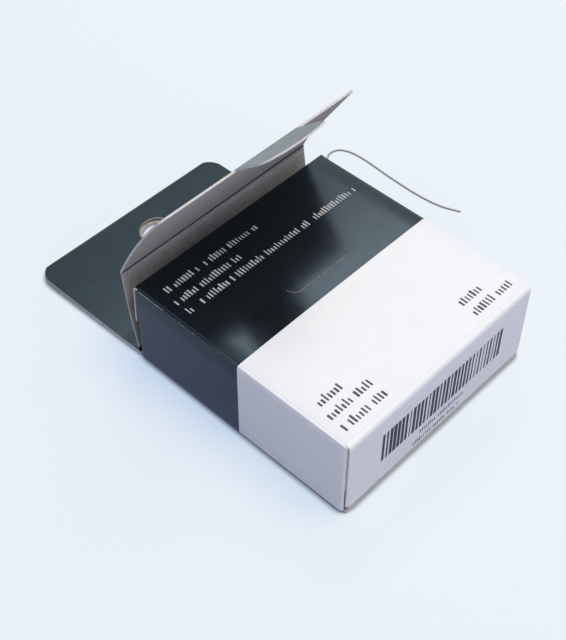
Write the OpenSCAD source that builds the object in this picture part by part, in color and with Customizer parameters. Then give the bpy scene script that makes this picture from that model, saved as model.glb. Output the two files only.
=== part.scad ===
// Flip-lid paperboard floss dispenser with a hang tab, a turning spool and a loose end of floss.
// The carton lies on its back. +Z is up through the front face and +Y runs towards the lid end.
// The origin is the centre of the back panel's resting face.

/* [Carton] */
// Width across the front face
carton_w = 48.6; // [44:0.1:60]
// Length from the closed base end to the lid end
carton_l = 50; // [46:0.1:62]
// Thickness from the back face to the front face
carton_d = 18.3; // [15:0.1:24]
// Thickness of the paperboard
board = 0.4; // [0.3:0.02:0.5]
// Width of the seam flap glued inside the right side
seam_w = 12; // [8:0.5:13]
// Length of each dust flap at the lid end
lid_dust_l = 20; // [14:0.5:20]
// Length of each dust flap at the base end
base_dust_l = 18; // [12:0.5:20]
// How far each base dust flap stops above the back panel, so that the tuck flap slides out under it
base_dust_lift = 5.6; // [5.2:0.1:7]
// Length of the tuck flap at the base end
tuck_l = 11; // [8:0.5:11]

/* [Lid] */
// How far each edge of the end panel and cover flap stands in from the carton's side
strip_inset = 1; // [0.8:0.1:2]
// How far the end panel and cover flap lie off the carton's centre line
strip_x = -0.3; // [-0.4:0.1:0.4]
// Distance from the carton's lid end to the crease that the end panel turns on
lid_setback = 1.2; // [1.1:0.1:2]
// Room between the closed cover flap and the front face
cover_gap = 0.6; // [0.3:0.05:1]
// Length of the cover flap from its crease to its free edge
cover_l = 23; // [18:0.1:27]
// Radius of the cover flap's corners
cover_r = 1.5; // [1:0.5:6]
// How far the end panel leans out from upright
lid_lean = 7.6; // [3:0.1:12]
// How far the cover flap bends inwards from the plane of the end panel
cover_bend = 38.8; // [10:0.1:60]

/* [Locking tongue] */
// Width of the tongue on the cover flap's free edge
tongue_w = 14.6; // [10:0.1:20]
// Length of the tongue at its centre
tongue_l = 9.8; // [6:0.1:10]
// How far the tongue's end bulges out at its centre
tongue_crown = 1.8; // [0.5:0.1:3]
// Radius of the tongue's corners
tongue_r = 2; // [1:0.1:3]
// How far the tongue and its slit lie off the carton's centre line
tongue_x = 1; // [-2:0.1:2]
// How far the tongue bends inwards from the plane of the cover flap
tongue_bend = 18.8; // [5:0.1:35]
// How much longer the slit is than the tongue is wide
slit_play = 0.2; // [0.1:0.1:1]
// Width of the cut
slit_gap = 0.24; // [0.2:0.02:0.6]
// Radius of the slit's turned-up ends
slit_r = 1.8; // [1:0.1:3]

/* [Hang tab] */
// Width of the tab
tab_w = 46.4; // [40:0.1:46.4]
// Length of the tab beyond the carton's lid end
tab_l = 29.2; // [24:0.1:36]
// How far the tab lies off the carton's centre line where it joins the carton
tab_x = -0.9; // [-1:0.1:1]
// How far the tab's far end is out of square, to the left
tab_skew = 0.6; // [0:0.1:1]
// Radius of the tab's corners
tab_r = 3.8; // [1:0.1:5]
// Height of the fold along the tab's far edge
tab_fold_h = 1.4; // [1.2:0.05:1.8]
// Length over which the front ply rises to the fold
tab_ramp_l = 3.2; // [2.5:0.1:3.5]
// Radius of the round hang hole
hang_hole_r = 3.75; // [3:0.05:3.8]
// Distance from the hole's centre to the carton's centre line
hang_hole_x = -0.6; // [-1:0.1:1]
// Distance from the hole's centre to the tab's far edge
hang_hole_edge = 8.4; // [7.8:0.1:12]

/* [Cutter] */
// Length of the inner flap that carries the cutter
cutter_flap_l = 9.2; // [8.8:0.1:10]
// How far the inner flap's lower edge springs out from the lid end
cutter_flap_spring = 0.45; // [0:0.05:0.5]
// Width of the steel cutter
cutter_w = 9; // [6:0.5:14]
// Height of the steel cutter
cutter_h = 6; // [5:0.5:7]
// Thickness of the steel cutter
cutter_t = 0.2; // [0.15:0.05:0.25]
// Length of the cutting tooth
tooth_l = 2.4; // [1.5:0.1:2.6]
// Width of the cutting tooth at its root
tooth_w = 2.6; // [1.5:0.1:3]
// Angle at which the tooth stands off the cutter
tooth_angle = 7; // [3:1:7]

/* [Spool] */
// Outer radius of the wound floss
winding_r = 19; // [14:0.1:19]
// Outer radius of the paper core
core_r = 7.2; // [6.8:0.1:9]
// Radius of the post that the core turns on
post_r = 5.9; // [3:0.1:5.9]
// Radius of the post's glued foot
post_foot_r = 9; // [7:0.1:12]
// Thickness of the foot
post_foot_h = 0.6; // [0.4:0.1:0.8]
// Running clearance between the core and the post, on the radius
core_play = 0.1; // [0.05:0.01:0.1]
// Room above and below the core
core_end_play = 0.3; // [0.2:0.1:0.6]
// How far the core stands out of the winding at each end
core_lip = 1.2; // [1.2:0.1:2]

/* [Floss] */
// Diameter of the floss
floss_d = 0.3; // [0.3:0.1:0.5]

/* [Hidden] */
$fn = 48;

// Print and board colours
ink_black = [0.13, 0.15, 0.17];
print_white = [0.95, 0.95, 0.96];
raw_board = [0.52, 0.50, 0.50];
steel = [0.75, 0.76, 0.78];
floss_colour = [0.82, 0.82, 0.78];

// Play beside a crease, where one board ends and the next begins
crease_play = 0.05;
// Play between boards that lie on each other in different planes
lay_play = 0.05;
// Clearance beside a flap that swings between the carton's sides
swing_play = 0.15;
// Clearance under a crease that lies over another board
lift_play = 0.1;
// Extra length that lets a cutting body pass right through a board
cut_extra = 1;

half_w = carton_w / 2;
half_l = carton_l / 2;
inner_w = carton_w - 2 * board;
strip_w = carton_w - 2 * strip_inset;
crease_end = board / 2 + crease_play;

lid_y = half_l + lid_setback;
lid_z = 2 * board + board / 2 + lift_play;
lid_l = carton_d + cover_gap + board / 2 - lid_z;
lid_angle = 90 - lid_lean;
cover_y = lid_y + lid_l * cos(lid_angle);
cover_z = lid_z + lid_l * sin(lid_angle);
cover_angle = lid_angle + cover_bend;
tongue_y = cover_y + cover_l * cos(cover_angle);
tongue_z = cover_z + cover_l * sin(cover_angle);
tongue_angle = cover_angle + tongue_bend;
slit_y = lid_y - cover_l;
slit_w = tongue_w + slit_play;

base_y = -half_l + board / 2;
base_z = carton_d - board / 2;
tuck_z = board + board / 2 + lift_play;
base_panel_l = base_z - tuck_z;
base_panel_w = inner_w - 2 * swing_play;
// The tuck flap also clears the seam flap inside the right side
tuck_w = inner_w - 2 * board - 2 * swing_play - 0.4;

tab_y = half_l + tab_l;
fold_r = tab_fold_h / 2;
fold_y = tab_y - fold_r;
hole_y = tab_y - hang_hole_edge;
tab_slant = atan(tab_skew / tab_l);

core_z = board + post_foot_h + core_end_play;
core_h = carton_d - board - core_end_play - 0.7 - core_z;
winding_z = core_z + core_lip;
winding_h = core_h - 2 * core_lip;

// The floss leaves the winding, passes out under the cutter flap, runs along the lid end
// and lies on the table beside the carton.
// Its start lies on the winding, at this angle from +X and height above the tab.
floss_start_angle = 122;
floss_start_z = 3.3;
// Each point here is x from the centre line, y from the lid end and the height above the tab.
floss_inside = [
  [-7.2, -6.5, 2.7],
  [-4, -4.3, 2.1],
  [-1, -2.3, 1.5],
  [1.8, -0.7, 1],
  [4.8, 0.25, 0.6],
  [8.2, 0.5, 0.3],
  [12, 0.5, 0.1],
  [16, 0.5, 0.04],
  [20, 0.5, 0.03]
];
// Where it passes the tab's corner, as x from the carton's right side, y from the lid end and the
// height above the tab
floss_corner = [-1, 0.55, 0.01];
// Each point here is x from the carton's right side, y from the lid end and the height above the table.
floss_outside = [
  [1.5, 1.1, 0.46],
  [4.1, 2.5, 0.12],
  [7.1, 4.7, 0.01],
  [10.5, 7.6, 0.01],
  [13.9, 10.6, 0.01],
  [16.7, 12.4, 0.01],
  [19, 12, 0.01],
  [20.3, 10, 0.01],
  [20.7, 7.2, 0.01],
  [20.6, 3.6, 0.01],
  [20.3, -0.4, 0.01],
  [20.1, -4.4, 0.01],
  [20, -8.2, 0.01],
  [20.2, -12, 0.01],
  [20.8, -15.4, 0.01],
  [22.2, -18.9, 0.01]
];
floss_r = floss_d / 2;
tab_top = 2 * board;
floss_start_r = winding_r + floss_r + 0.1;
floss_start_x = floss_start_r * cos(floss_start_angle);
floss_start_y = floss_start_r * sin(floss_start_angle);
floss_route = concat(
  [[floss_start_x, floss_start_y, tab_top + floss_r + floss_start_z]],
  [for (p = floss_inside) [p[0], half_l + p[1], tab_top + floss_r + p[2]]],
  [[half_w + floss_corner[0], half_l + floss_corner[1], tab_top + floss_r + floss_corner[2]]],
  [for (p = floss_outside) [half_w + p[0], half_l + p[1], floss_r + p[2]]]
);
floss_steps = 3;
floss_sides = 8;

function unit(v) = v / norm(v);

// One point of a smooth curve through four neighbouring route points
function blend_point(a, b, c, d, t) =
  0.5 * (2 * b + (c - a) * t + (2 * a - 5 * b + 4 * c - d) * t * t + (3 * b - a - 3 * c + d) * t * t * t);

function route_point(p, i) = p[min(max(i, 0), len(p) - 1)];

function smooth_route(p, steps) = concat(
  [
    for (i = [0 : len(p) - 2])
      for (k = [0 : steps - 1])
        blend_point(route_point(p, i - 1), p[i], p[i + 1], route_point(p, i + 2), k / steps)
  ],
  [p[len(p) - 1]]
);

function heading(p, i) = unit(route_point(p, i + 1) - route_point(p, i - 1));

function ring(centre, along, r, sides) =
  let(side = unit(cross(along, [0, 0, 1])))
  let(up = cross(side, along))
  [
    for (k = [0 : sides - 1])
      let(turn = 360 * (k + 0.5) / sides)
      centre + r * (cos(turn) * side + sin(turn) * up)
  ];

function path_length(p, i = 0) = i >= len(p) - 1 ? 0 : norm(p[i + 1] - p[i]) + path_length(p, i + 1);

// A round tube along a list of points
module tube_along(p, r, sides) {
  rings = [for (i = [0 : len(p) - 1]) each ring(p[i], heading(p, i), r, sides)];
  last = (len(p) - 1) * sides;
  walls = [
    for (i = [0 : len(p) - 2])
      for (k = [0 : sides - 1])
        let(a = i * sides + k)
        let(b = i * sides + (k + 1) % sides)
        each [[a, b, b + sides], [a, b + sides, a + sides]]
  ];
  start_cap = [for (k = [1 : sides - 2]) [0, k + 1, k]];
  end_cap = [for (k = [1 : sides - 2]) [last, last + k, last + k + 1]];
  polyhedron(points = rings, faces = concat(walls, start_cap, end_cap));
}

// A box between two corners
module block(low, high) {
  translate(low) cube(high - low);
}

// An outline w wide that starts on the X axis and has round corners at its far end
module tab_outline(w, l, r) {
  translate([-w / 2, 0]) square([w, l - r]);
  translate([-w / 2 + r, 0]) square([w - 2 * r, l]);
  for (side = [-1, 1]) {
    translate([side * (w / 2 - r), l - r]) circle(r);
  }
}

// The tongue's outline: a tab whose far edge bulges out
module tongue_outline() {
  crown_r = (tongue_w * tongue_w / 4 + tongue_crown * tongue_crown) / (2 * tongue_crown);
  intersection() {
    tab_outline(tongue_w, tongue_l, tongue_r + tongue_crown);
    translate([0, tongue_l - crown_r]) circle(crown_r, $fn = 128);
  }
}

// The rounded crease that a swinging board turns on
module crease_bead(w) {
  rotate([0, 90, 0]) cylinder(r = board / 2, h = w, center = true);
}

// A plain board that starts at its crease and runs along +Y, centred on the XY plane
module leaf(w, l) {
  crease_bead(w);
  translate([-w / 2, 0, -board / 2]) cube([w, l, board]);
}

// Places a board at its crease, at an angle from +Y in the YZ plane
module at_crease(x, y, z, angle) {
  translate([x, y, z]) rotate([angle, 0, 0]) children();
}

// The locking slit: a straight cut with both ends turned up towards the lid
module slit_outline() {
  straight = slit_w / 2 - slit_r;
  translate([-straight, -slit_gap / 2]) square([2 * straight, slit_gap]);
  for (side = [-1, 1]) {
    translate([side * straight, slit_r]) intersection() {
      difference() {
        circle(slit_r + slit_gap / 2);
        circle(slit_r - slit_gap / 2);
      }
      translate([side > 0 ? 0 : -2 * slit_r, -2 * slit_r]) square(2 * slit_r);
    }
  }
}

module front_panel() {
  color(print_white) difference() {
    block([-half_w, -half_l + board / 2 + crease_end, carton_d - board], [half_w, half_l, carton_d]);
    translate([tongue_x, slit_y, carton_d - board - cut_extra])
      linear_extrude(board + 2 * cut_extra) slit_outline();
  }
}

module back_panel() {
  color(print_white) block([-half_w, -half_l, 0], [half_w, half_l, board]);
}

module side_panel(side) {
  low = side > 0 ? half_w - board : -half_w;
  block([low, -half_l, board], [low + board, half_l, carton_d - board]);
}

module left_side_panel() {
  color(print_white) side_panel(-1);
}

module right_side_panel() {
  color(print_white) side_panel(1);
}

module seam_flap() {
  end_gap = 2;
  x = half_w - 2 * board;
  y = half_l - end_gap;
  color(raw_board) block([x, -y, 2 * board], [x + board, y, 2 * board + seam_w]);
}

module cutter_flap() {
  top = carton_d - board;
  low = top - cutter_flap_l;
  side_gap = 0.25;
  w = inner_w - 2 * side_gap;
  color(ink_black) translate([-w / 2, 0, 0]) rotate([90, 0, 90]) linear_extrude(w) polygon([
    [half_l - board, top],
    [half_l, top],
    [half_l + cutter_flap_spring, low],
    [half_l + cutter_flap_spring - board, low]
  ]);
}

module lid_dust_flap(side) {
  outer = half_w - board;
  y = half_l - board - lay_play;
  z_gap = 0.3;
  low = side > 0 ? outer - lid_dust_l : -outer;
  block([low, y - board, board + z_gap], [low + lid_dust_l, y, carton_d - board - z_gap]);
}

module lid_dust_flap_left() {
  color(ink_black) lid_dust_flap(-1);
}

module lid_dust_flap_right() {
  color(ink_black) lid_dust_flap(1);
}

module base_dust_flap(side) {
  outer = half_w - board;
  y = -half_l + board + lift_play;
  z_gap = 0.3;
  low = side > 0 ? outer - base_dust_l : -outer;
  block([low, y, board + base_dust_lift], [low + base_dust_l, y + board, carton_d - board - z_gap]);
}

module base_dust_flap_left() {
  color(print_white) base_dust_flap(-1);
}

module base_dust_flap_right() {
  color(print_white) base_dust_flap(1);
}

// The centre line of one round corner of the slanted tab, as x at a distance y from the carton
function tab_corner_x(side, y) = tab_x - y * tan(tab_slant) + side * (tab_w / 2 - tab_r / cos(tab_slant));

// The tab's plan, whose two long edges slant a little to the left
module tab_plan_outline() {
  corner_y = tab_l - tab_r;
  left = tab_corner_x(-1, corner_y);
  right = tab_corner_x(1, corner_y);
  side_x = tab_r * cos(tab_slant);
  side_y = tab_r * sin(tab_slant);
  polygon([
    [tab_x - tab_w / 2, 0],
    [tab_x + tab_w / 2, 0],
    [right + side_x, corner_y + side_y],
    [right, tab_l],
    [left, tab_l],
    [left - side_x, corner_y - side_y]
  ]);
  translate([left, corner_y]) circle(tab_r);
  translate([right, corner_y]) circle(tab_r);
}

module tab_plan() {
  translate([0, half_l, -cut_extra])
    linear_extrude(tab_fold_h + 2 * cut_extra) tab_plan_outline();
}

module hang_hole() {
  translate([hang_hole_x, hole_y, -cut_extra]) cylinder(r = hang_hole_r, h = tab_fold_h + 2 * cut_extra);
}

// Sweeps an outline drawn in Y and Z right across the tab
module across_tab() {
  w = tab_w + 2 * tab_skew + 2 * cut_extra;
  translate([tab_x - w / 2, 0, 0]) rotate([90, 0, 90]) linear_extrude(w) children();
}

module hang_tab_rear_ply() {
  color(ink_black) difference() {
    intersection() {
      across_tab() {
        translate([half_l, 0]) square([fold_y - half_l, board]);
        intersection() {
          translate([fold_y, fold_r]) difference() {
            circle(fold_r);
            circle(fold_r - board);
          }
          translate([fold_y, 0]) square([2 * fold_r, 2 * fold_r]);
        }
      }
      tab_plan();
    }
    hang_hole();
  }
}

module hang_tab_front_ply() {
  near = half_l + lift_play;
  color(ink_black) difference() {
    intersection() {
      across_tab() polygon([
        [near, board],
        [fold_y - tab_ramp_l, board],
        [fold_y, tab_fold_h - board],
        [fold_y, tab_fold_h],
        [fold_y - tab_ramp_l, 2 * board],
        [near, 2 * board]
      ]);
      tab_plan();
    }
    hang_hole();
  }
}

module lid_end_panel() {
  color(raw_board) at_crease(strip_x, lid_y, lid_z, lid_angle) leaf(strip_w, lid_l - crease_end);
}

module cover_flap() {
  notch_w = tongue_w + 2 * swing_play;
  color(raw_board) at_crease(strip_x, cover_y, cover_z, cover_angle) {
    crease_bead(strip_w);
    translate([0, 0, -board / 2]) linear_extrude(board) difference() {
      tab_outline(strip_w, cover_l, cover_r);
      translate([tongue_x - strip_x - notch_w / 2, cover_l - crease_end]) square([notch_w, 2 * crease_end]);
    }
  }
}

module locking_tongue() {
  color(ink_black) at_crease(tongue_x, tongue_y, tongue_z, tongue_angle) {
    crease_bead(tongue_w);
    translate([0, 0, -board / 2]) linear_extrude(board) tongue_outline();
  }
}

module base_end_panel() {
  // The inner face stops short of the tuck flap's crease, so that the two fold together freely
  tuck_relief = 0.6;
  end = base_panel_l - crease_end;
  color(print_white) at_crease(0, base_y, base_z, -90) {
    crease_bead(base_panel_w);
    translate([-base_panel_w / 2, 0, 0]) rotate([90, 0, 90]) linear_extrude(base_panel_w) polygon([
      [0, -board / 2],
      [end, -board / 2],
      [end - tuck_relief, board / 2],
      [0, board / 2]
    ]);
  }
}

module base_tuck_flap() {
  corner_r = 3;
  color(raw_board) at_crease(0, base_y, tuck_z, 0) {
    crease_bead(tuck_w);
    translate([0, 0, -board / 2]) linear_extrude(board) tab_outline(tuck_w, tuck_l, corner_r);
  }
}

// Stands an outline drawn in X and Z upright, t thick along Y
module upright(t) {
  translate([0, t, 0]) rotate([90, 0, 0]) linear_extrude(t) children();
}

module cutter_blade() {
  margin = 0.8;
  window_gap = 0.2;
  window_w = tooth_w + 2 * window_gap;
  root_z = margin - cutter_flap_l + (cutter_h - tooth_l) / 2;
  flap_angle = atan(cutter_flap_spring / cutter_flap_l);
  color(steel) translate([0, half_l, carton_d - board]) rotate([flap_angle, 0, 0]) {
    difference() {
      translate([-cutter_w / 2, 0, margin - cutter_flap_l]) cube([cutter_w, cutter_t, cutter_h]);
      // The window that the tooth was cut and bent out of
      translate([0, -cut_extra, root_z + window_gap]) upright(cutter_t + 2 * cut_extra)
        polygon([[-window_w / 2, 0], [window_w / 2, 0], [0, tooth_l]]);
    }
    // The tooth stands out and points up towards the front face
    translate([0, 0, root_z]) rotate([-tooth_angle, 0, 0]) upright(cutter_t)
      polygon([[-tooth_w / 2, 0], [tooth_w / 2, 0], [0, tooth_l]]);
  }
}

module spool_post() {
  post_top_gap = 0.9;
  color(raw_board) {
    translate([0, 0, board]) cylinder(r = post_foot_r, h = post_foot_h);
    translate([0, 0, board]) cylinder(r = post_r, h = carton_d - 2 * board - post_top_gap);
  }
}

module spool_core() {
  color(raw_board) translate([0, 0, core_z]) difference() {
    cylinder(r = core_r, h = core_h);
    translate([0, 0, -cut_extra]) cylinder(r = post_r + core_play, h = core_h + 2 * cut_extra);
  }
}

module floss_winding() {
  edge_r = 1;
  color(floss_colour) translate([0, 0, winding_z]) rotate_extrude() difference() {
    union() {
      translate([core_r, 0]) square([winding_r - core_r - edge_r, winding_h]);
      translate([core_r, edge_r]) square([winding_r - core_r, winding_h - 2 * edge_r]);
      translate([winding_r - edge_r, edge_r]) circle(edge_r);
      translate([winding_r - edge_r, winding_h - edge_r]) circle(edge_r);
    }
    translate([core_r - 2 * edge_r, -edge_r]) square([2 * edge_r, winding_h + 2 * edge_r]);
  }
}

module floss_strand() {
  path = smooth_route(floss_route, floss_steps);
  echo(floss_length_mm = path_length(path));
  color(floss_colour) tube_along(path, floss_d / 2, floss_sides);
}

front_panel();
back_panel();
left_side_panel();
right_side_panel();
seam_flap();
cutter_flap();
lid_dust_flap_left();
lid_dust_flap_right();
base_dust_flap_left();
base_dust_flap_right();
hang_tab_rear_ply();
hang_tab_front_ply();
lid_end_panel();
cover_flap();
locking_tongue();
base_end_panel();
base_tuck_flap();
cutter_blade();
spool_post();
spool_core();
floss_winding();
floss_strand();
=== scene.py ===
import math

import bmesh
import bpy
from mathutils import Matrix, Quaternion, Vector


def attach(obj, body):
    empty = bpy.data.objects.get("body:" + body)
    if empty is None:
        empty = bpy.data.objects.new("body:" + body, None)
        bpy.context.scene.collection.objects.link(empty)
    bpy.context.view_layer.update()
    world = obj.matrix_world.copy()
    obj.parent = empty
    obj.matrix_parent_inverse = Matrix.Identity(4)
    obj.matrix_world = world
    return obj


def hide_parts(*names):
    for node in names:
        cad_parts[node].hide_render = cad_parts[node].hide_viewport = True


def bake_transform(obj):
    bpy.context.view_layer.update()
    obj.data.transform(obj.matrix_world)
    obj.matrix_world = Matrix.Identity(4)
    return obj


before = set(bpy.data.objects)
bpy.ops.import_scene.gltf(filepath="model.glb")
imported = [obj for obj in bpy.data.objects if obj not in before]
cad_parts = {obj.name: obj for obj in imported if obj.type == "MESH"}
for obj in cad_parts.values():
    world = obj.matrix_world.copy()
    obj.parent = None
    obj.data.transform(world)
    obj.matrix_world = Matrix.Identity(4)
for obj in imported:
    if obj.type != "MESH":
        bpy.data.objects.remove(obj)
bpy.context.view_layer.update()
mm = 0.001
print("frame loaded,", len(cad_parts), "nodes")

viewpoint = {
    "place": (-114.13, -95.79, 177.49),  # mm from the middle of the back panel
    "look": (0.4819, 0.4549, -0.7489),
    "roll": 0.23,  # degrees
    "lens": 70.67,
}

cameraData = bpy.data.cameras.new("camera")
cameraData.sensor_fit = "VERTICAL"
cameraData.sensor_height = 36
cameraData.lens = viewpoint["lens"]
cameraData.clip_start = 0.01
cameraData.clip_end = 20
camera = bpy.data.objects.new("camera", cameraData)
bpy.context.scene.collection.objects.link(camera)
bpy.context.scene.camera = camera
camera.location = Vector(viewpoint["place"]) * mm
camera.rotation_mode = "QUATERNION"
camera.rotation_quaternion = (
    Vector(viewpoint["look"]).to_track_quat("-Z", "Y")
    @ Quaternion((0, 0, 1), math.radians(viewpoint["roll"]))
)


# An sRGB hex value as the linear colour that the nodes work in
def linearColour(code):
    parts = [int(code[i : i + 2], 16) / 255 for i in (1, 3, 5)]
    return (*[c / 12.92 if c <= 0.04045 else ((c + 0.055) / 1.055) ** 2.4 for c in parts], 1)


# Adds a node. A setting is one of the node's own options, or a value or a link for one of its inputs.
def addNode(tree, kind, settings=None):
    node = tree.nodes.new(kind)
    for key, value in (settings or {}).items():
        if isinstance(key, str) and hasattr(node, key):
            setattr(node, key, value)
        elif isinstance(value, bpy.types.NodeSocket):
            tree.links.new(value, node.inputs[key])
        else:
            node.inputs[key].default_value = value
    return node


def newMaterial(name, shaderSettings):
    material = bpy.data.materials.new(name)
    material.use_nodes = True
    tree = material.node_tree
    shader = tree.nodes["Principled BSDF"]
    for key, value in shaderSettings.items():
        shader.inputs[key].default_value = value
    place = addNode(tree, "ShaderNodeTexCoord").outputs["Object"]
    return material, tree, shader, place


# Noise whose blotches are about this many millimetres across, as a 0 to 1 value
def blotches(tree, place, size, detail=3, stretch=(1, 1, 1)):
    mapped = addNode(tree, "ShaderNodeMapping", {"Scale": stretch, "Vector": place}).outputs["Vector"]
    settings = {"Scale": 1 / (size * mm), "Detail": detail, "Vector": mapped}
    return addNode(tree, "ShaderNodeTexNoise", settings).outputs["Fac"]


def remap(tree, value, fromLow, fromHigh, toLow, toHigh):
    limits = {"From Min": fromLow, "From Max": fromHigh, "To Min": toLow, "To Max": toHigh}
    return addNode(tree, "ShaderNodeMapRange", {**limits, "Value": value}).outputs["Result"]


def mixColours(tree, factor, first, second):
    return addNode(tree, "ShaderNodeMix", {"data_type": "RGBA", 0: factor, 6: first, 7: second}).outputs[2]


def calculate(tree, operation, first, second=0.0):
    return addNode(tree, "ShaderNodeMath", {"operation": operation, 0: first, 1: second}).outputs[0]


inks = {
    "black": "#020508",
    "blackMottle": "#04090D",
    "white": "#F5F6F7",
    "whiteMottle": "#F0F1F4",
    "core": "#E2E0DE",
    "coreShade": "#BDB9B6",
    "grey": "#BFBBB6",
    "greySpeck": "#7E7772",
    # painted shade: these two dark colours stand for the shade in the crease grooves as well as for crushed
    # fibres
    "crushedShade": "#4A4546",
    "crushedShadeDark": "#2C292B",
    "kraft": "#B08D63",
    "kraftDark": "#8C6B45",
    "steel": "#B9BCC0",
    "floss": "#D3D3CF",
    "flossShade": "#A5A5A0",
    "paleMark": "#C9CCD0",
    "darkMark": "#2B2F37",
    "bar": "#0E1118",
}


# A share of an ink's light
def shade(ink, share):
    return (*[c * share for c in linearColour(inks[ink])[:3]], 1)


# Mixes two colours, each the name of an ink, a value or a socket
def mixInks(tree, factor, first, second):
    colours = [linearColour(inks[ink]) if isinstance(ink, str) else ink for ink in (first, second)]
    return mixColours(tree, factor, *colours)


# Gives the shader its colour, and a bump of this many millimetres from a height pattern
def dress(tree, shader, colour, height, depth, strength):
    tree.links.new(colour, shader.inputs["Base Color"])
    bump = addNode(tree, "ShaderNodeBump", {"Strength": strength, "Distance": depth * mm, "Height": height})
    tree.links.new(bump.outputs["Normal"], shader.inputs["Normal"])


def varyRoughness(tree, shader, pattern, low, high):
    tree.links.new(remap(tree, pattern, 0.3, 0.7, low, high), shader.inputs["Roughness"])


# Where the ink has cracked along the front panel's left crease, in mm
creaseWear = {
    "crest": (42.2, 42.27),  # z minus x, which is largest on the crease's crest
    "below": 18.6,  # nothing that stands above the front panel is worn
    "towardsLid": (14, 23),  # the wear grows between these
    "speck": 0.4,
}


# Solid black offset ink on coated board under gloss varnish: deep, with a soft, slightly rippled shine.
# The board's white core shows where the ink has cracked.
def makeBlackPrint():
    material, tree, shader, place = newMaterial(
        "varnishedBlackInk", {"Roughness": 0.2, "IOR": 1.62, "Specular Tint": (0.62, 0.82, 1.0, 1)}
    )
    ink = mixInks(tree, blotches(tree, place, 6), "black", "blackMottle")
    axes = addNode(tree, "ShaderNodeSeparateXYZ", {"Vector": place}).outputs
    crest = calculate(tree, "SUBTRACT", axes["Z"], axes["X"])
    band = remap(tree, crest, *[c * mm for c in creaseWear["crest"]], 0, 1)
    below = calculate(tree, "LESS_THAN", axes["Z"], creaseWear["below"] * mm)
    nearLid = remap(tree, axes["Y"], *[c * mm for c in creaseWear["towardsLid"]], 0.6, 0.4)
    specks = blotches(tree, place, creaseWear["speck"], 4, (1, 0.5, 1))
    cracked = remap(tree, calculate(tree, "SUBTRACT", specks, nearLid), 0, 0.06, 0, 0.75)
    wear = calculate(tree, "MULTIPLY", calculate(tree, "MULTIPLY", band, below), cracked)
    varyRoughness(tree, shader, blotches(tree, place, 3), 0.18, 0.24)
    dress(tree, shader, mixInks(tree, wear, ink, "core"), blotches(tree, place, 1.4, 2), 0.012, 0.5)
    return material


# Bare coated white board under the same varnish: smooth and bright, with a faint fibre ripple.
def makeWhitePrint():
    material, tree, shader, place = newMaterial(
        "varnishedWhiteBoard",
        {"Roughness": 0.42, "IOR": 1.5, "Coat Weight": 0.15, "Coat Roughness": 0.25, "Coat IOR": 1.5},
    )
    colour = mixInks(tree, blotches(tree, place, 4), "white", "whiteMottle")
    varyRoughness(tree, shader, blotches(tree, place, 2), 0.36, 0.48)
    dress(tree, shader, colour, blotches(tree, place, 0.8, 4), 0.015, 0.6)
    return material


# A surface of a colour blotched with a darker one, which follow each other in the pair. Its bump
# follows the same blotches, and an overlay gives the share of the darker colour in one more layer.
def makeSurface(name, shaderSettings, pattern, ramp, pair, bump, overlay=None, roughness=None):
    material, tree, shader, place = newMaterial(name, shaderSettings)
    noise = blotches(tree, place, *pattern)
    colour = mixInks(tree, remap(tree, noise, *ramp) if ramp else noise, *pair)
    if overlay:
        colour = mixInks(tree, overlay(tree, place), colour, pair[1])
    if roughness:
        varyRoughness(tree, shader, noise, *roughness)
    dress(tree, shader, colour, noise, *bump)
    return material


# The board's uncoated recycled back: dull grey with darker fibres and specks.
def makeGreyBack():
    return makeSurface(
        "recycledBoardBack", {"Roughness": 0.88, "IOR": 1.45}, (0.5, 5, (1, 0.35, 1)), (0.35, 0.75, 0, 0.45),
        ("grey", "greySpeck"), (0.03, 0.7),
        lambda tree, place: remap(tree, blotches(tree, place, 0.9, 2), 0.62, 0.72, 0, 0.5),
    )


# A die-cut edge: the pale core of pressed plies, rough and a little uneven.
def makeCutCore():
    return makeSurface(
        "dieCutCore", {"Roughness": 0.85, "IOR": 1.45}, (0.22, 4), (0.4, 0.7, 0, 1),
        ("core", "coreShade"), (0.04, 0.7),
    )


# Where the creasing rule pressed, the fibres are crushed, and the grooves beside the bead get a dark colour
# that is painted shade as well as crushed fibre.
def makeCrushedShadedBack():
    return makeSurface(
        "crushedBoardBackWithPaintedShade", {"Roughness": 0.95, "IOR": 1.45}, (0.4, 4), (0.35, 0.7, 0, 1),
        ("crushedShade", "crushedShadeDark"), (0.04, 0.7),
    )


# Offset ink, or white board left clear of it: flat, with the fine dots of the screen.
def makePlainInk(name, ink, roughness):
    material, tree, shader, place = newMaterial(name, {"Roughness": roughness, "IOR": 1.5})
    dots = remap(tree, blotches(tree, place, 0.3, 3), 0.35, 0.7, 0, 1)
    dress(tree, shader, mixInks(tree, dots, ink, shade(ink, 0.72)), dots, 0.004, 0.5)
    return material


# The fine overlap line of each turn of spiral-wound paper
def kraftSeam(tree, place):
    bands = {"wave_type": "BANDS", "bands_direction": "Z", "Scale": 1 / (18 * mm), "Distortion": 0.6}
    wave = addNode(tree, "ShaderNodeTexWave", {**bands, "Vector": place}).outputs["Fac"]
    return calculate(tree, "MULTIPLY", remap(tree, wave, 0.0, 0.06, 1, 0), 0.5)


# Spiral-wound kraft paper: brown with long fibres round the tube.
def makeKraft():
    return makeSurface(
        "spiralWoundKraft", {"Roughness": 0.82, "IOR": 1.45}, (0.8, 5, (1, 1, 4)), None,
        ("kraft", "kraftDark"), (0.04, 0.6), kraftSeam,
    )


# Rolled stainless strip, stamped: brushed along its width, so highlights streak.
def makeSteel():
    return makeSurface(
        "brushedStainlessStrip", {"Metallic": 1.0, "Roughness": 0.3}, (0.12, 4, (0.02, 1, 1)), None,
        ("steel", shade("steel", 0.8)), (0.004, 0.6), roughness=(0.24, 0.4),
    )


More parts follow.
